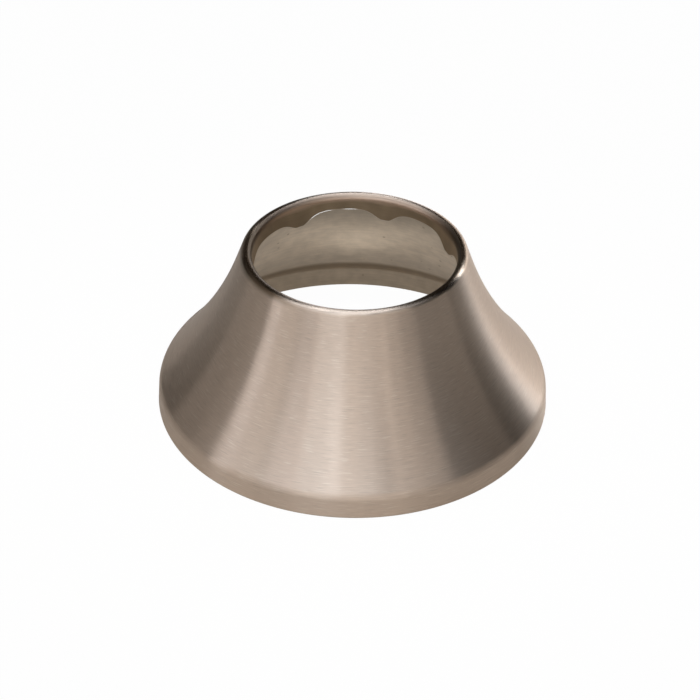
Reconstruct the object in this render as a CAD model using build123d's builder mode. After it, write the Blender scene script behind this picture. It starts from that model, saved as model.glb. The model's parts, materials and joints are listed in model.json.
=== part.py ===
"""Bell escutcheon: one drawn sheet-metal cover that hides the hole round a drain tube.

The origin is the centre of the base ring, +Z points up the tube, lengths are in millimetres
and angles in degrees.
"""

import os
from math import cos, radians, sin, tan

from build123d import *

# Tube that passes through, and how freely it does so
tube_diameter = 38.1
tube_clearance = 0.2

# Bell, measured on its outside
base_diameter = 76.2
height = 33.2
sheet = 0.6

# Skirt: the short, nearly upright band that ends on the wall
skirt_height = 4.45
skirt_lean = 4.2
bend_radius = 2.5
edge_break = 0.2

# Neck: the straight stretch under the rim, above the flare
neck_length = 4.0
neck_lean = 20.4

# Rim: the sheet rolls over the top and turns down into the bore as a lip
rim_radius = 1.05
lip_depth = 5.6
lip_short_depth = 3.2

# Ears: the lip's raw lower edge is left wavy by the drawing
ear_count = 7
ear_angle = 72.5
ear_tip = 1.0
ear_round = 1.2

# Sizes that follow from the ones above
base_radius = base_diameter / 2
bore_radius = tube_diameter / 2 + tube_clearance
lip_radius = bore_radius + sheet
lip_bottom = height - lip_depth
rim_center = (bore_radius + rim_radius, height - rim_radius)
skirt_slope = tan(radians(skirt_lean))
crease = (base_radius - skirt_height * skirt_slope, skirt_height)
neck_fall = (sin(radians(neck_lean)), -cos(radians(neck_lean)))
base_trim = sheet

# Each scallop is an arc that leaves half an ear tip on either side of it
ear_pitch = 360 / ear_count
ear_tip_angle = ear_tip / radians(bore_radius)
scallop_half_width = bore_radius * sin(radians(ear_pitch - ear_tip_angle) / 2)
scallop_rise = lip_depth - lip_short_depth
scallop_radius = (scallop_half_width**2 + scallop_rise**2) / (2 * scallop_rise)
scallop_center = height - lip_short_depth - scallop_radius


def facing_outward(angle):
    """The upright plane through the axis whose normal points out at this angle."""
    turn = radians(angle)
    return Plane(
        origin=(0, 0, 0),
        x_dir=(-sin(turn), cos(turn), 0),
        z_dir=(cos(turn), sin(turn), 0),
    )


scallop_planes = [facing_outward(ear_angle + ear_pitch * (i + 0.5)) for i in range(ear_count)]

os.makedirs("parts", exist_ok=True)

with BuildPart() as escutcheon:
    # Lip: a short tube on the bore, scalloped along its lower edge
    with BuildSketch(Plane.XY.offset(lip_bottom)):
        Circle(lip_radius)
        Circle(bore_radius, mode=Mode.SUBTRACT)
    extrude(amount=rim_center[1] - lip_bottom)

    with BuildSketch(*scallop_planes):
        with Locations((0, scallop_center)):
            Circle(scallop_radius)
    extrude(amount=lip_radius + sheet, mode=Mode.SUBTRACT)

    straight_edges = escutcheon.edges().filter_by(GeomType.LINE)
    ear_corners = straight_edges.filter_by_position(Axis.Z, lip_bottom, lip_bottom)
    fillet(ear_corners, radius=ear_round)

    # Wall: the outside line from the bore over the rim to the base, given the sheet's thickness
    with BuildSketch(Plane.XZ) as wall:
        with BuildLine() as outside:
            rim = CenterArc(rim_center, rim_radius, 180, neck_lean - 180)
            neck = PolarLine(rim @ 1, neck_length, direction=neck_fall)
            flare = TangentArc(neck @ 1, crease, tangent=neck % 1)
            Line(flare @ 1, (base_radius + base_trim * skirt_slope, -base_trim))
            fillet(outside.vertices().sort_by_distance(crease)[0], radius=bend_radius)
            offset(amount=sheet, side=Side.RIGHT)
        make_face()
        # The base is sheared flat, to sit close against the wall, and its outer edge is broken
        with Locations((base_radius, 0)):
            below = (Align.CENTER, Align.MAX)
            Rectangle(base_radius, 2 * base_trim, align=below, mode=Mode.SUBTRACT)
        base_corners = wall.vertices().group_by(Axis.Y)[0]
        chamfer(base_corners.sort_by(Axis.X)[-1], length=edge_break)
    revolve(axis=Axis.Z)

escutcheon.part.label = "bell_escutcheon"
export_step(escutcheon.part, "parts/bell_escutcheon.step")
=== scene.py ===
import json
from math import asin, atan2, cos, degrees, pi, radians, sin, tan

import bmesh
import bpy
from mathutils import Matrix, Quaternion, Vector


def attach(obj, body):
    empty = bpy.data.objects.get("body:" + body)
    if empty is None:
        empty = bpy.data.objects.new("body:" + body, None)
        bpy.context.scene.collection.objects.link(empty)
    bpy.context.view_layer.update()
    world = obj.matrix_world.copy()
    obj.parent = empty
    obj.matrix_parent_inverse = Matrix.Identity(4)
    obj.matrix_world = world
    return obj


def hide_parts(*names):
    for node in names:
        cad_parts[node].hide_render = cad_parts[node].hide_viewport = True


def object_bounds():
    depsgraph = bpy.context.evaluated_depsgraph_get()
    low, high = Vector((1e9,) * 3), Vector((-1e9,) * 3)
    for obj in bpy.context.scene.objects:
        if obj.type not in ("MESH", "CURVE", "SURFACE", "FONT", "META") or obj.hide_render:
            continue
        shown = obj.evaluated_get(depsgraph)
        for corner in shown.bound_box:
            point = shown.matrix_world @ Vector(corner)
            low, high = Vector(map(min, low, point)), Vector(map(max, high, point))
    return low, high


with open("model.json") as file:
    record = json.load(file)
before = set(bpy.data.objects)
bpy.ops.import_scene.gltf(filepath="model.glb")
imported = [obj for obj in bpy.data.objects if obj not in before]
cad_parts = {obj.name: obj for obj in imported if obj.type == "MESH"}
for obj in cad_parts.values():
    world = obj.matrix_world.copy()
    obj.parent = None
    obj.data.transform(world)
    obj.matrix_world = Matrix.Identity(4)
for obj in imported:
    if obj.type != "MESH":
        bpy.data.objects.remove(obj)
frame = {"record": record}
cadLow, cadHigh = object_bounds()
mm = 0.001
print("frame loaded, CAD box", [round(v / mm, 2) for v in (*cadLow, *cadHigh)], "mm")

cameraSetup = {
    "elevation": 36.05,  # degrees above the floor
    "distance": 342.0 * mm,
    "aim": (-0.6 * mm, 0, 9.8 * mm),
    "roll": 0.9,
    "lens": 90.5,
    "sensor": 36,
}


def placeCamera(setup):
    tilt = radians(setup["elevation"])
    away = Vector((0, -cos(tilt), sin(tilt)))
    data = bpy.data.cameras.new("photoCamera")
    data.lens = setup["lens"]
    data.sensor_width = setup["sensor"]
    data.clip_start = 0.01
    camera = bpy.data.objects.new("photoCamera", data)
    camera.location = Vector(setup["aim"]) + away * setup["distance"]
    look = (-away).to_track_quat("-Z", "Y")
    camera.rotation_mode = "QUATERNION"
    camera.rotation_quaternion = look @ Quaternion((0, 0, 1), radians(setup["roll"]))
    bpy.context.collection.objects.link(camera)
    bpy.context.scene.camera = camera


placeCamera(cameraSetup)
bpy.context.scene.view_settings.view_transform = "Standard"
print("camera placed")


def addNode(tree, kind, x, y, **settings):
    node = tree.nodes.new(kind)
    node.location = (x, y)
    for name, value in settings.items():
        setattr(node, name, value)
    return node


def feed(tree, socket, value):
    # An output of another node is linked, and a plain value is set
    if isinstance(value, bpy.types.NodeSocket):
        tree.links.new(value, socket)
    else:
        socket.default_value = value


def mapRange(tree, x, y, source, span, levels, smooth=False):
    kind = "SMOOTHSTEP" if smooth else "LINEAR"
    node = addNode(tree, "ShaderNodeMapRange", x, y, interpolation_type=kind)
    names = ("Value", "From Min", "From Max", "To Min", "To Max")
    for name, value in zip(names, (source, *span, *levels)):
        feed(tree, node.inputs[name], value)
    return node.outputs["Result"]


def combine(tree, x, y, operation, *values):
    node = addNode(tree, "ShaderNodeMath", x, y, operation=operation)
    for socket, value in zip(node.inputs, values):
        feed(tree, socket, value)
    return node.outputs["Value"]


def mixTones(tree, x, y, factor, first, second, blend="MIX"):
    node = addNode(tree, "ShaderNodeMix", x, y, data_type="RGBA", blend_type=blend)
    sockets = (node.inputs[0], node.inputs[6], node.inputs[7])  # the node's colour sockets
    for socket, value in zip(sockets, (factor, first, second)):
        feed(tree, socket, value)
    return node.outputs[2]


def addNoise(tree, x, y, place, scale, detail, roughness=0.5, dimensions="3D"):
    node = addNode(tree, "ShaderNodeTexNoise", x, y, noise_dimensions=dimensions)
    feed(tree, node.inputs["Vector"], place)
    feed(tree, node.inputs["Scale"], scale)
    feed(tree, node.inputs["Detail"], detail)
    feed(tree, node.inputs["Roughness"], roughness)
    return node.outputs["Fac"]


studio = {
    "cardDistance": 0.7,
    "topDistance": 0.8,
    "floorSize": 8.0,
    "floorTone": (0.425, 0.4, 0.365, 1),
    "tableTint": (1.06, 1.0, 0.91, 1),
    "tableGlow": 0.2,  # the light table that the part stands on, as the metal sees it
    "farGlow": 0.07,
    "tableEdge": (0.045, 0.12),  # how far out it starts and ends to fade
    "paintedPoolGlow": 0.31,  # a painted pool of light on the table, where light through the bore would fall
    "poolPlace": (0.5 * mm, 27.0 * mm, 0),
    "poolEdge": (0, 0.0068),
    "paperGlow": 1.02,  # the white paper that the camera sees instead
    "floorShade": 0.05,  # how much of the shadows it sees as well
}

coolWhite = (0.95, 1.0, 1.09)
skyWhite = (0.88, 1.0, 1.14)
plainWhite = (1.0, 1.0, 1.0)
warmGrey = (1.1, 0.98, 0.85)

# Upright cards: azimuths from the camera, to the right, then elevations, glow and tint
cards = {
    "backLowCard": ((124.5, 138), (0, 11), 1.5, plainWhite),
    "backCard": ((123.5, 138), (11, 20), 2.0, plainWhite),
    "skyStepA": ((123, 127), (20, 27), 5.8, skyWhite),
    "skyStepB": ((127, 132), (21, 31), 5.2, skyWhite),
    "skyStepC": ((132, 137), (26, 35), 6.0, skyWhite),
    "skyStepD": ((137, 146), (30, 38.5), 6.0, skyWhite),
    "skyStepE": ((146, 156), (33, 41), 4.0, skyWhite),
    "farBackCard": ((138, 168), (0, 22), 1.7, plainWhite),
    "backdropCard": ((168, 179), (0, 18), 2.2, coolWhite),
    "backGloom": ((156, 218), (24, 52), 0.05, warmGrey),
    "rearLeftCard": ((-158, -138), (0, 10), 0.4, plainWhite),
    "rearLeftMidCard": ((-158, -138), (10, 22), 0.2, plainWhite),
    "rearLeftSky": ((-140, -100), (22, 48), 0.2, plainWhite),
    "farLeftCard": ((-114, -82), (0, 22), 0.26, plainWhite),
    "farLeftSky": ((-100, -79), (22, 48), 0.53, plainWhite),
    "streakCard": ((-79, -68), (0, 22), 1.55, coolWhite),
    "streakSky": ((-79, -68), (22, 48), 0.9, coolWhite),
    "leftCard": ((-68, -50), (0, 22), 0.95, plainWhite),
    "leftSky": ((-68, -50), (22, 48), 0.6, plainWhite),
    "nearLeftCard": ((-50, -31), (0, 22), 0.6, plainWhite),
    "nearLeftSky": ((-50, -31), (22, 48), 1.45, coolWhite),
    "frontCard": ((-31, 0), (0, 22), 1.15, plainWhite),
    "frontSky": ((-31, -7), (22, 48), 1.7, skyWhite),
    "middleSky": ((-7, 4), (22, 48), 0.67, plainWhite),
    "fillCard": ((0, 28), (0, 22), 1.3, plainWhite),
    "fillSky": ((4, 26), (22, 48), 0.3, plainWhite),
    "rightCard": ((28, 40), (0, 22), 0.65, plainWhite),
    "rightSky": ((26, 58), (22, 48), 0.8, plainWhite),
    "farRightCard": ((40, 95), (0, 22), 0.26, plainWhite),
}

# A sheet on the floor behind the part, to the right
backSheet = {"place": (0.04, 0.19, 0.001), "size": (0.06, 0.22), "glow": 1.6}

# Boxes overhead: azimuth, elevation, width and glow
topBoxes = {
    "topBox": (0, 89.9, 0.5, 1.75),
    "frontTopBox": (0, 64, 0.4, 0.65),
    "frontBox": (0, 55, 0.3, 1.1),
    "leftTopBox": (-90, 64, 0.4, 1.85),
    "rightTopBox": (90, 64, 0.4, 0.6),
    "backTopBox": (180, 60, 0.22, 2.5),
}


def addLight(name, place, aim, size, glow, tint):
    data = bpy.data.lights.new(name, "AREA")
    data.shape = "RECTANGLE"
    data.size, data.size_y = size
    data.energy = glow * pi * size[0] * size[1]
    data.color = tint
    light = bpy.data.objects.new(name, data)
    light.location = place
    light.rotation_euler = (aim - place).to_track_quat("-Z", "Y").to_euler()
    light.visible_camera = False
    bpy.context.collection.objects.link(light)


def hangCards():
    distance = studio["cardDistance"]
    for name, (azimuths, elevations, glow, tint) in cards.items():
        left, right = (radians(a) for a in azimuths)
        low, high = (distance * tan(radians(a)) for a in elevations)
        middle = (left + right) / 2
        level = (low + high) / 2
        place = Vector((sin(middle) * distance, -cos(middle) * distance, level))
        width = 2 * distance * tan((right - left) / 2)
        addLight(name, place, Vector((0, 0, level)), (width, high - low), glow, tint)


def layBackSheet():
    place = Vector(backSheet["place"])
    above = place + Vector((0, 0, 1))
    addLight("backSheet", place, above, backSheet["size"], backSheet["glow"], coolWhite)


def hangBoxes():
    for name, (azimuth, elevation, width, glow) in topBoxes.items():
        turn, tilt = radians(azimuth), radians(elevation)
        away = Vector((sin(turn) * cos(tilt), -cos(turn) * cos(tilt), sin(tilt)))
        place = away * studio["topDistance"]
        addLight(name, place, Vector((0, 0, 0)), (width, width), glow, skyWhite)


def makePaleFloor():
    material = bpy.data.materials.new("paleFloor")
    material.use_nodes = True
    tree = material.node_tree
    tree.nodes.clear()

    # The metal sees a matte floor with a light table on it
    place = addNode(tree, "ShaderNodeTexCoord", -1000, -100).outputs["Object"]
    reach = addNode(tree, "ShaderNodeVectorMath", -800, -100, operation="LENGTH")
    feed(tree, reach.inputs[0], place)
    levels = (studio["tableGlow"], studio["farGlow"])
    fade = mapRange(tree, -600, -100, reach.outputs["Value"], studio["tableEdge"], levels, True)
    # A painted pool of light on the table inside the bell, where light through the bore would fall
    offset = addNode(tree, "ShaderNodeVectorMath", -800, -300, operation="DISTANCE")
    feed(tree, offset.inputs[0], place)
    feed(tree, offset.inputs[1], studio["poolPlace"])
    levels = (studio["paintedPoolGlow"], 0)
    pool = mapRange(tree, -600, -300, offset.outputs["Value"], studio["poolEdge"], levels, True)
    table = addNode(tree, "ShaderNodeEmission", -200, -40)
    feed(tree, table.inputs["Color"], studio["tableTint"])
    feed(tree, table.inputs["Strength"], combine(tree, -400, -200, "ADD", fade, pool))
    matte = addNode(tree, "ShaderNodeBsdfDiffuse", -200, 100)
    feed(tree, matte.inputs["Color"], studio["floorTone"])
    both = addNode(tree, "ShaderNodeAddShader", 0, 60)
    feed(tree, both.inputs[0], matte.outputs["BSDF"])
    feed(tree, both.inputs[1], table.outputs["Emission"])

    # The camera sees white paper, with only a trace of the shadows
    paper = addNode(tree, "ShaderNodeEmission", 0, -120)
    feed(tree, paper.inputs["Strength"], studio["paperGlow"])
    isCamera = addNode(tree, "ShaderNodeLightPath", -200, 300).outputs["Is Camera Ray"]
    mix = addNode(tree, "ShaderNodeMixShader", 200, 60)
    seen = combine(tree, 0, 300, "MULTIPLY", isCamera, 1 - studio["floorShade"])
    feed(tree, mix.inputs["Fac"], seen)
    feed(tree, mix.inputs[1], both.outputs["Shader"])
    feed(tree, mix.inputs[2], paper.outputs["Emission"])
    out = addNode(tree, "ShaderNodeOutputMaterial", 400, 60)
    feed(tree, out.inputs["Surface"], mix.outputs["Shader"])
    return material


def layFloor():
    bm = bmesh.new()
    bmesh.ops.create_grid(bm, x_segments=1, y_segments=1, size=studio["floorSize"] / 2)
    mesh = bpy.data.meshes.new("floor")
    bm.to_mesh(mesh)
    bm.free()
    mesh.materials.append(makePaleFloor())
    floor = bpy.data.objects.new("floor", mesh)
    bpy.context.collection.objects.link(floor)


def setWorld():
    # White behind the part, and dark to the metal, which is lit by the cards alone
    world = bpy.data.worlds.new("studioRoom")
    world.use_nodes = True
    tree = world.node_tree
    tree.nodes.clear()
    path = addNode(tree, "ShaderNodeLightPath", -400, 0)
    room = addNode(tree, "ShaderNodeBackground", -150, 0)
    feed(tree, room.inputs["Color"], (1, 1, 1, 1))
    feed(tree, room.inputs["Strength"], path.outputs["Is Camera Ray"])
    out = addNode(tree, "ShaderNodeOutputWorld", 100, 0)
    feed(tree, out.inputs["Surface"], room.outputs["Background"])
    bpy.context.scene.world = world


hangCards()
layBackSheet()
hangBoxes()
layFloor()
setWorld()
print("studio lit by", len(cards) + 1 + len(topBoxes), "soft boxes")


boreMount = next(m for m in frame["record"]["mounts"] if m["name"] == "tube_bore")

bell = {
    "boreRadius": boreMount["dims"]["r_mm"] * mm,
    "baseRadius": min(cadHigh[0], cadHigh[1]),
    "height": cadHigh[2],
    "sheet": 0.6 * mm,
    "rimRadius": 1.05 * mm,
    "neckLength": 4.0 * mm,
    "neckLean": 20.4,  # degrees, as all angles here
    "skirtHeight": 4.45 * mm,
    "skirtLean": 4.2,
    "bendSetback": 0.86 * mm,
    "baseBreak": 0.2 * mm,
    "sharpAngle": 40,
    "turnSteps": 320,
    "lipSteps": 8,
    "rimSteps": 20,
    "neckSteps": 4,
    "flareSteps": 24,
    "skirtSteps": 5,
    "bendSegments": 8,
    "breakSegments": 2,
}

# Ears of the lip, round from +X: where each tip stands, how deep it reaches, and the lobe after it
ears = [
    (23.5, 5.6, 2.9),
    (72.5, 5.2, 3.1),
    (124.0, 5.5, 3.8),
    (175.0, 5.6, 3.4),
    (226.5, 5.4, 3.1),
    (278.5, 5.6, 3.5),
    (329.5, 5.3, 3.6),
]
lip = {
    "deepest": 5.6 * mm,
    "tipWidth": 5.0,
    "steepness": 3.0,
    "polishEnd": 74,  # round the roll, from the lip
    "burrHeight": 0.16 * mm,
    "burrReach": 0.1 * mm,
    "burrFade": 3,
    "burrs": [(88, 98), (102, 119), (198, 220), (297, 309)],  # round from +X
}

tiny = 1e-6
wallSlot, rimSlot, insideSlot = range(3)

# Where the roll starts and ends, along the sheet from the lip's deepest edge
rollStart = lip["deepest"] - bell["rimRadius"]
rollEnd = rollStart + bell["rimRadius"] * (pi - radians(bell["neckLean"]))


def runStraight(bm, vert, run, steps):
    for i in range(steps):
        vert = bmesh.ops.extrude_vert_indiv(bm, verts=[vert])["verts"][0]
        bmesh.ops.translate(bm, verts=[vert], vec=run / steps)
    return vert


def runArc(bm, vert, centre, turn, steps):
    swept = bmesh.ops.spin(bm, geom=[vert], cent=centre, axis=(0, 1, 0), angle=turn, steps=steps)
    return next(g for g in swept["geom_last"] if isinstance(g, bmesh.types.BMVert))


def traceSheet(bm):
    # The outside line of the sheet in the XZ plane, from the lip's edge over the rim to the base
    lean = radians(bell["neckLean"])
    slope = tan(radians(bell["skirtLean"]))
    rimHeight = bell["height"] - bell["rimRadius"]
    rimCentre = Vector((bell["boreRadius"] + bell["rimRadius"], 0, rimHeight))
    start = bm.verts.new((bell["boreRadius"], 0, bell["height"] - lip["deepest"]))
    vert = runStraight(bm, start, Vector((0, 0, lip["burrHeight"])), 1)
    vert = runStraight(bm, vert, Vector((0, 0, rollStart - lip["burrHeight"])), bell["lipSteps"])
    vert = runArc(bm, vert, rimCentre, pi - lean, bell["rimSteps"])
    neck = Vector((sin(lean), 0, -cos(lean))) * bell["neckLength"]
    vert = runStraight(bm, vert, neck, bell["neckSteps"])

    # The flare is the arc that leaves the neck smoothly and meets the skirt at the crease
    skirtFoot = bell["baseRadius"] + bell["baseBreak"] * slope
    crease = Vector((skirtFoot - bell["skirtHeight"] * slope, 0, bell["skirtHeight"]))
    reach = crease - vert.co
    outward = Vector((cos(lean), 0, sin(lean)))
    flareRadius = reach.length_squared / (2 * reach.dot(outward))
    flareTurn = 2 * asin(reach.length / (2 * flareRadius))
    flareCentre = vert.co + outward * flareRadius
    vert = runArc(bm, vert, flareCentre, -flareTurn, bell["flareSteps"])

    fall = bell["skirtHeight"] + bell["sheet"]  # a little past the base, to be sheared off
    runStraight(bm, vert, Vector((fall * slope, 0, -fall)), bell["skirtSteps"])
    return start


def measureSheet(start, along):
    vert, edge = start, start.link_edges[0]
    while edge:
        nextVert = edge.other_vert(vert)
        nextVert[along] = vert[along] + edge.calc_length()
        rest = [e for e in nextVert.link_edges if e is not edge]
        vert, edge = nextVert, rest[0] if rest else None


def lipDepthAt(angle):
    for i, (tip, depth, lobe) in enumerate(ears):
        nextTip, nextDepth, _ = ears[(i + 1) % len(ears)]
        span = (nextTip - tip) % 360
        part = ((angle - tip) % 360) / span
        if part < 1:
            side = 2 * part - 1  # -1 at this tip, 0 in the lobe, 1 at the next tip
            flat = lip["tipWidth"] / span
            rise = min(1, abs(side) / (1 - flat)) ** lip["steepness"]
            rise = (rise * rise * (3 - 2 * rise) + rise) / 2  # rounds the tips off
            tipDepth = depth if side < 0 else nextDepth
            return (lobe + (tipDepth - lobe) * rise) * mm


def burrAt(angle):
    for start, end in lip["burrs"]:
        if (angle - start) % 360 < end - start:
            fromEnds = min((angle - start) % 360, (end - angle) % 360)
            return min(1, fromEnds / lip["burrFade"])
    return 0


def shapeLip(bm):
    top = bell["height"] - bell["rimRadius"]
    edge = bell["height"] - lip["deepest"]
    for vert in bm.verts:
        if vert.co.z < top - tiny and vert.co.xy.length < bell["boreRadius"] + tiny:
            angle = degrees(atan2(vert.co.y, vert.co.x))
            share = (lipDepthAt(angle) - bell["rimRadius"]) / rollStart
            onEdge = vert.co.z < edge + tiny
            vert.co.z = top - (top - vert.co.z) * share
            if onEdge:
                # The shears leave a burr in places, turned in towards the bore
                inset = lip["burrReach"] * burrAt(angle)
                vert.co.xy *= 1 - inset / bell["boreRadius"]


def bevelRing(bm, edges, offset, segments):
    return bmesh.ops.bevel(
        bm,
        geom=edges,
        offset=offset,
        offset_type="OFFSET",
        affect="EDGES",
        segments=segments,
        profile=0.5,
        material=-1,
    )["faces"]


def thickenSheet(bm, along):
    outer = set(bm.faces)
    bmesh.ops.solidify(bm, geom=bm.faces[:], thickness=bell["sheet"])
    crest = rollStart + bell["rimRadius"] * radians(lip["polishEnd"])
    for face in bm.faces:
        onRim = sum(v[along] for v in face.verts) / len(face.verts) < crest
        outerSlot = rimSlot if onRim else wallSlot
        face.material_index = outerSlot if face in outer else insideSlot


def shearBase(bm):
    # The base is sheared flat and closed with a ring, and its outer edge is broken
    everything = bm.verts[:] + bm.edges[:] + bm.faces[:]
    cut = bmesh.ops.bisect_plane(
        bm, geom=everything, plane_co=(0, 0, 0), plane_no=(0, 0, -1), clear_outer=True
    )
    sheared = [g for g in cut["geom_cut"] if isinstance(g, bmesh.types.BMEdge)]
    for face in bmesh.ops.bridge_loops(bm, edges=sheared)["faces"]:
        face.material_index = insideSlot
    bmesh.ops.recalc_face_normals(bm, faces=bm.faces)  # one closed surface by now

    middle = bell["baseRadius"] - bell["sheet"] / 2
    outerEdge = [e for e in sheared if e.is_valid and e.verts[0].co.xy.length > middle]
    for face in bevelRing(bm, outerEdge, bell["baseBreak"], bell["breakSegments"]):
        face.material_index = insideSlot


def mapSheet(bm, along):
    # The map runs round the bell and along the sheet, in metres
    sheetMap = bm.loops.layers.uv.new("sheetMap")
    for face in bm.faces:
        middle = face.calc_center_median()
        around = atan2(middle.y, middle.x)
        for loop in face.loops:
            turn = atan2(loop.vert.co.y, loop.vert.co.x)
            turn += 2 * pi * round((around - turn) / (2 * pi))
            loop[sheetMap].uv = (turn * bell["boreRadius"], loop.vert[along])


def buildShell():
    bm = bmesh.new()
    along = bm.verts.layers.float.new("along")
    start = traceSheet(bm)
    measureSheet(start, along)
    bmesh.ops.spin(
        bm,
        geom=bm.verts[:] + bm.edges[:],
        cent=(0, 0, 0),
        axis=(0, 0, 1),
        angle=2 * pi,
        steps=bell["turnSteps"],
        use_merge=True,
    )
    bmesh.ops.remove_doubles(bm, verts=bm.verts, dist=tiny)
    bmesh.ops.recalc_face_normals(bm, faces=bm.faces)

    bend = bell["skirtHeight"]
    bendRing = [e for e in bm.edges if all(abs(v.co.z - bend) < tiny for v in e.verts)]
    bevelRing(bm, bendRing, bell["bendSetback"], bell["bendSegments"])
    shapeLip(bm)
    thickenSheet(bm, along)
    shearBase(bm)
    mapSheet(bm, along)

    mesh = bpy.data.meshes.new("bellShell")
    bm.to_mesh(mesh)
    bm.free()
    mesh.shade_smooth()
    mesh.set_sharp_from_angle(angle=radians(bell["sharpAngle"]))
    shell = bpy.data.objects.new("bellShell", mesh)
    bpy.context.collection.objects.link(shell)
    return shell


shell = buildShell()
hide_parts("bell_escutcheon")
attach(shell, "root")
print("bell shell built,", len(shell.data.polygons), "faces")


def newGroup(name, inputs, outputs):
    group = bpy.data.node_groups.new(name, "ShaderNodeTree")
    group.interface.new_socket("Vector", in_out="INPUT", socket_type="NodeSocketVector")
    for label, value in inputs.items():
        socket = group.interface.new_socket(label, in_out="INPUT", socket_type="NodeSocketFloat")
        socket.default_value = value
    for label in outputs:
        group.interface.new_socket(label, in_out="OUTPUT", socket_type="NodeSocketFloat")
    given = addNode(group, "NodeGroupInput", -900, 0).outputs
    result = addNode(group, "NodeGroupOutput", 600, 0).inputs
    return group, given, result


def makeStrokes():
    # Fine lines that run round the bell: noise that is long round it and short along the sheet,
    # and scratches and grooves, the few places where such noise is highest or lowest
    outputs = ("Strokes", "Scratches", "Grooves")
    sizes = {"Fineness": 4000.0, "Reach": 60.0}
    group, given, result = newGroup("turnedStrokes", sizes, outputs)
    scale = addNode(group, "ShaderNodeCombineXYZ", -700, -100)
    feed(group, scale.inputs["X"], given["Reach"])
    feed(group, scale.inputs["Y"], given["Fineness"])
    stretch = addNode(group, "ShaderNodeVectorMath", -500, 0, operation="MULTIPLY")
    feed(group, stretch.inputs[0], given["Vector"])
    feed(group, stretch.inputs[1], scale.outputs["Vector"])
    shift = addNode(group, "ShaderNodeVectorMath", -400, -250, operation="ADD")
    feed(group, shift.inputs[0], stretch.outputs["Vector"])
    feed(group, shift.inputs[1], (41.3, 17.9, 0))  # so that marks and lines differ
    lines = addNoise(group, -250, 0, stretch.outputs["Vector"], 1.0, 3.0, 0.65, "2D")
    marks = addNoise(group, -250, -250, shift.outputs["Vector"], 1.0, 1.0, 0.65, "2D")
    feed(group, result["Strokes"], mapRange(group, 0, 0, lines, (0.25, 0.75), (0, 1)))
    feed(group, result["Scratches"], mapRange(group, 0, -200, marks, (0.64, 0.74), (0, 1)))
    feed(group, result["Grooves"], mapRange(group, 0, -400, marks, (0.34, 0.24), (0, 1)))
    return group


def makeSpecks():
    # Scattered dots: the middles of cells, of which only a few are kept
    sizes = {"Density": 700.0, "Share": 0.2, "Size": 0.25}
    group, given, result = newGroup("scatteredSpecks", sizes, ("Specks",))
    cells = addNode(group, "ShaderNodeTexVoronoi", -600, 0)
    feed(group, cells.inputs["Vector"], given["Vector"])
    feed(group, cells.inputs["Scale"], given["Density"])
    chance = addNode(group, "ShaderNodeSeparateColor", -400, -150)
    feed(group, chance.inputs["Color"], cells.outputs["Color"])
    kept = combine(group, -200, -150, "LESS_THAN", chance.outputs["Red"], given["Share"])
    small = combine(group, -400, 100, "DIVIDE", cells.outputs["Distance"], given["Size"])
    dot = mapRange(group, -200, 100, small, (0.4, 1), (1, 0), smooth=True)
    feed(group, result["Specks"], combine(group, 100, 0, "MULTIPLY", dot, kept))
    return group


def makeSideShadeMask():
    # A mask for painted dark reflection on the rim: strongest at both sides, none in front and at
    # the back
    group, given, result = newGroup("sideShadeMask", {"Start": 0.014}, ("SideShade",))
    split = addNode(group, "ShaderNodeSeparateXYZ", -700, 0)
    feed(group, split.inputs["Vector"], given["Vector"])
    across = combine(group, -500, 100, "ABSOLUTE", split.outputs["X"])
    forward = combine(group, -500, -100, "MULTIPLY", split.outputs["Y"], -0.25)
    sideways = combine(group, -300, 0, "ADD", across, forward)
    span = (given["Start"], 0.97 * bell["boreRadius"])
    feed(group, result["SideShade"], mapRange(group, -100, 0, sideways, span, (0, 1), smooth=True))
    return group


strokes = makeStrokes()
specks = makeSpecks()
sideShadeMask = makeSideShadeMask()
print("effects made: strokes, specks and tarnish")


def placeGroup(tree, group, x, y, place, values):
    node = addNode(tree, "ShaderNodeGroup", x, y, node_tree=group)
    feed(tree, node.inputs["Vector"], place)
    for name, value in values.items():
        feed(tree, node.inputs[name], value)
    return node.outputs


def sheetRamp(tree, x, y, along, origin, edges, levels, smooth=True):
    # From one level to another between two places along the sheet, counted from an origin
    span = [origin + edge for edge in edges]
    return mapRange(tree, x, y, along, span, levels, smooth)


def startMetal(name):
    material = bpy.data.materials.new(name)
    material.use_nodes = True
    tree = material.node_tree
    tree.nodes["Material Output"].location = (1300, 0)
    shader = tree.nodes["Principled BSDF"]
    shader.location = (1000, 0)
    shader.inputs["Metallic"].default_value = 1.0
    place = addNode(tree, "ShaderNodeTexCoord", -1400, 200).outputs["Object"]
    # How far along the sheet: 0 at the lip's edge, then over the rim and down to the base
    sheetPlace = addNode(tree, "ShaderNodeUVMap", -1400, -300, uv_map="sheetMap").outputs["UV"]
    split = addNode(tree, "ShaderNodeSeparateXYZ", -1200, -300)
    feed(tree, split.inputs["Vector"], sheetPlace)
    return material, tree, shader, place, sheetPlace, split.outputs["Y"]


nickel = {"tone": (0.655, 0.506, 0.398, 1), "sideShadeTone": (0.2, 0.14, 0.09, 1)}

brushedFinish = {
    "fineStrokes": {"Fineness": 5200.0, "Reach": 480.0},
    "broadStrokes": {"Fineness": 3400.0, "Reach": 220.0},
    "fineShade": (0.95, 1.04),
    "broadShade": (0.97, 1.03),
    "grooveShade": 0.88,
    "scratchTone": (0.8, 0.68, 0.56, 1),
    "scratchShare": 0.5,
    "roughness": 0.335,
    "crestRoughness": 0.24,
    "strokeRoughness": (0.03, -0.03),
    "brushEdge": (-1.2 * mm, 0.3 * mm),  # from the roll's end
    "sideShadeEdge": (-1.1 * mm, 0.5 * mm),
    "sideShadeSlant": 0.028,
    "sideShadeStart": 0.72 * bell["boreRadius"],
    "dentScale": 650.0,
    "dentDepth": 0.008 * mm,
}


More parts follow.
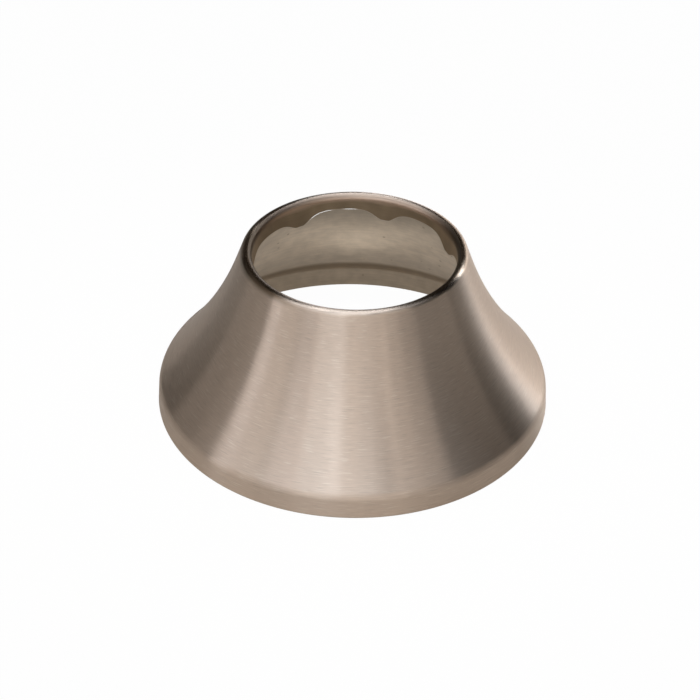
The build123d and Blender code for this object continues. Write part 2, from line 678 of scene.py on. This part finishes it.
def makeBrushedNickel(finish):
    material, tree, shader, place, sheetPlace, along = startMetal("brushedNickel")
    shader.inputs["Anisotropic"].default_value = 1.0
    shader.inputs["Anisotropic Rotation"].default_value = 0.25
    tangent = addNode(tree, "ShaderNodeTangent", 750, -400, direction_type="UV_MAP")
    tangent.uv_map = "sheetMap"
    feed(tree, shader.inputs["Tangent"], tangent.outputs["Tangent"])

    # The brushing fades out towards the rim, which is burnished smooth
    onWall = sheetRamp(tree, -800, -250, along, rollEnd, finish["brushEdge"], (0, 1), False)
    fine = placeGroup(tree, strokes, -1000, 400, sheetPlace, finish["fineStrokes"])
    broad = placeGroup(tree, strokes, -1000, 200, sheetPlace, finish["broadStrokes"])
    fineShade = mapRange(tree, -800, 400, fine["Strokes"], (0, 1), finish["fineShade"])
    broadShade = mapRange(tree, -800, 200, broad["Strokes"], (0, 1), finish["broadShade"])
    grooveShade = mapRange(tree, -800, 550, fine["Grooves"], (0, 1), (1, finish["grooveShade"]))
    shade = combine(tree, -600, 300, "MULTIPLY", fineShade, broadShade)
    shade = combine(tree, -450, 400, "MULTIPLY", shade, grooveShade)
    brushed = mixTones(tree, -300, 300, 1, nickel["tone"], shade, "MULTIPLY")
    scratched = combine(tree, -300, 500, "MULTIPLY", fine["Scratches"], finish["scratchShare"])
    brushed = mixTones(tree, -150, 400, scratched, brushed, finish["scratchTone"])
    tone = mixTones(tree, 0, 300, onWall, nickel["tone"], brushed)

    # Painted dark reflection on the rim's crest at both sides, set a little aslant so that it
    # comes further out on the left
    across = addNode(tree, "ShaderNodeSeparateXYZ", -1200, 700)
    feed(tree, across.inputs["Vector"], place)
    slant = finish["sideShadeSlant"]
    aslant = combine(tree, -800, 700, "MULTIPLY_ADD", across.outputs["X"], slant, along)
    onCrest = sheetRamp(tree, -600, 700, aslant, rollEnd, finish["sideShadeEdge"], (1, 0))
    sides = placeGroup(tree, sideShadeMask, -800, 900, place, {"Start": finish["sideShadeStart"]})
    sideShade = combine(tree, -400, 700, "MULTIPLY", onCrest, sides["SideShade"])
    tone = mixTones(tree, 300, 300, sideShade, tone, nickel["sideShadeTone"])
    feed(tree, shader.inputs["Base Color"], tone)

    levels = (finish["crestRoughness"], finish["roughness"])
    evenRough = mapRange(tree, -400, -200, onWall, (0, 1), levels)
    strokeRough = mapRange(tree, -600, 0, fine["Strokes"], (0, 1), finish["strokeRoughness"])
    strokeRough = combine(tree, -400, 0, "MULTIPLY", strokeRough, onWall)
    rough = combine(tree, -200, -100, "ADD", evenRough, strokeRough)
    feed(tree, shader.inputs["Roughness"], rough)

    patches = addNoise(tree, -1000, 0, place, finish["dentScale"], 2.0)
    bump = addNode(tree, "ShaderNodeBump", 700, -200)
    feed(tree, bump.inputs["Strength"], 1.0)
    feed(tree, bump.inputs["Distance"], finish["dentDepth"])
    feed(tree, bump.inputs["Height"], combine(tree, 400, -200, "MULTIPLY", patches, onWall))
    feed(tree, shader.inputs["Normal"], bump.outputs["Normal"])
    return material


rimFinish = {
    "rollTone": (0.5, 0.365, 0.275, 1),
    "paintedHighlightTone": (0.7, 0.53, 0.415, 1),
    "rollSideShadeTone": (0.11, 0.08, 0.055, 1),
    "lipShadeTone": (0.41, 0.32, 0.225, 1),
    "edgeHighlightTone": (0.92, 0.84, 0.75, 1),
    "innerRollEdge": (1.1 * mm, 1.4 * mm),  # from the roll's start, as the next two
    "highlightEdge": (0, 0.8 * mm),
    "lipEdge": (-1.2 * mm, 0.2 * mm),
    "cutEdge": (0.08 * mm, 0.18 * mm),  # from the lip's edge
    "sideShadeStart": 0.4 * bell["boreRadius"],
    "strokes": {"Fineness": 3000.0, "Reach": 300.0},
    "strokeShade": (0.94, 1.04),
    "strokeRoughness": (0.39, 0.45),
    "cloudScale": 170.0,
    "cloudShade": (0.85, 1.2),
}


def makeRimNickel(finish):
    material, tree, shader, place, sheetPlace, along = startMetal("rimNickel")
    fine = placeGroup(tree, strokes, -1000, 300, sheetPlace, finish["strokes"])["Strokes"]
    clouds = addNoise(tree, -1000, 0, place, finish["cloudScale"], 2.0)
    sides = placeGroup(tree, sideShadeMask, -1000, 600, place, {"Start": finish["sideShadeStart"]})
    sideShade = sides["SideShade"]

    # Past the top of the roll the tone turns darker, and the lip below it carries painted shade
    # with a random mottle
    onRoll = sheetRamp(tree, -800, -250, along, rollStart, finish["innerRollEdge"], (1, 0))
    # A painted highlight on the lowest part of the roll, where it turns down into the lip
    highlightUnderRoll = sheetRamp(tree, -1000, 900, along, rollStart, finish["highlightEdge"], (1, 0))
    onLip = sheetRamp(tree, -800, -500, along, rollStart, finish["lipEdge"], (1, 0))
    onEdge = sheetRamp(tree, -800, -750, along, 0, finish["cutEdge"], (1, 0), False)

    rollTone = mixTones(tree, -800, 600, highlightUnderRoll, finish["rollTone"], finish["paintedHighlightTone"])
    # Painted dark reflection at both sides of the roll and of the crest
    rollTone = mixTones(tree, -600, 500, sideShade, rollTone, finish["rollSideShadeTone"])
    crestTone = mixTones(tree, -600, 700, sideShade, nickel["tone"], nickel["sideShadeTone"])
    stain = mapRange(tree, -800, 0, clouds, (0.35, 0.7), finish["cloudShade"])
    lipShadeTone = mixTones(tree, -400, 0, 1, finish["lipShadeTone"], stain, "MULTIPLY")
    tone = mixTones(tree, -400, 300, onRoll, crestTone, rollTone)
    tone = mixTones(tree, -200, 200, onLip, tone, lipShadeTone)
    shade = mapRange(tree, -800, 300, fine, (0, 1), finish["strokeShade"])
    tone = mixTones(tree, 0, 200, 1, tone, shade, "MULTIPLY")
    # A painted highlight along the lip's cut edge
    tone = mixTones(tree, 200, 200, onEdge, tone, finish["edgeHighlightTone"])
    feed(tree, shader.inputs["Base Color"], tone)

    rough = mapRange(tree, 0, -50, fine, (0, 1), finish["strokeRoughness"])
    feed(tree, shader.inputs["Roughness"], rough)
    return material


dullFinish = {
    "tone": (0.875, 0.755, 0.625, 1),
    "oxideAndShadeTone": (0.34, 0.26, 0.18, 1),
    "paintedShadingRise": (3 * mm, 13 * mm),  # from the roll's end, as the next three
    "paintedShadingFall": (17 * mm, 24 * mm),
    "bendRise": (26.4 * mm, 29 * mm),
    "bendFall": (29.2 * mm, 32.5 * mm),
    "underRimShade": 0.58,
    "lowFlareShade": 0.82,
    "skirtBendShade": 0.25,
    "streaks": {"Fineness": 1500.0, "Reach": 260.0},
    "streakShade": (0.92, 1.06),
    "streakRoughness": (0.28, 0.38),
    "specks": {"Density": 520.0, "Share": 0.13, "Size": 0.2},
    "speckShare": 0.6,
    "mottleScale": 420.0,
    "mottleShade": (0.9, 1.07),
}


def makeDullNickel(finish):
    material, tree, shader, place, sheetPlace, along = startMetal("dullNickel")
    streaks = placeGroup(tree, strokes, -1000, 400, sheetPlace, finish["streaks"])["Strokes"]
    dots = placeGroup(tree, specks, -1000, 200, place, finish["specks"])["Specks"]
    clouds = addNoise(tree, -1000, 0, place, finish["mottleScale"], 4.0)

    # Painted shade under the rim and in the bend, so that the middle of the flare is the lightest
    levels = (finish["underRimShade"], 1)
    rise = sheetRamp(tree, -800, -250, along, rollEnd, finish["paintedShadingRise"], levels)
    levels = (1, finish["lowFlareShade"])
    fall = sheetRamp(tree, -800, -500, along, rollEnd, finish["paintedShadingFall"], levels)
    paintedShading = combine(tree, -600, -350, "MULTIPLY", rise, fall)
    before = sheetRamp(tree, -800, -750, along, rollEnd, finish["bendRise"], (0, 1))
    levels = (1, finish["skirtBendShade"])
    after = sheetRamp(tree, -800, -1000, along, rollEnd, finish["bendFall"], levels)
    bendShade = combine(tree, -600, -850, "MULTIPLY", before, after)

    tone = mixTones(tree, -300, 100, 1, finish["tone"], paintedShading, "MULTIPLY")
    # Painted shade in the inner bend, kept faintly down the inner skirt; the same dark tone also
    # colours the real oxide specks below
    tone = mixTones(tree, -100, 100, bendShade, tone, finish["oxideAndShadeTone"])
    shade = mapRange(tree, -800, 400, streaks, (0, 1), finish["streakShade"])
    mottle = mapRange(tree, -800, 0, clouds, (0.3, 0.7), finish["mottleShade"])
    shade = combine(tree, -300, 350, "MULTIPLY", shade, mottle)
    tone = mixTones(tree, 100, 200, 1, tone, shade, "MULTIPLY")
    speckled = combine(tree, 100, 0, "MULTIPLY", dots, finish["speckShare"])
    tone = mixTones(tree, 300, 200, speckled, tone, finish["oxideAndShadeTone"])
    feed(tree, shader.inputs["Base Color"], tone)

    rough = mapRange(tree, 300, -50, streaks, (0, 1), finish["streakRoughness"])
    feed(tree, shader.inputs["Roughness"], rough)
    return material


# In the order of wallSlot, rimSlot and insideSlot
shell.data.materials.append(makeBrushedNickel(brushedFinish))
shell.data.materials.append(makeRimNickel(rimFinish))
shell.data.materials.append(makeDullNickel(dullFinish))
print("finishes made:", [material.name for material in shell.data.materials])
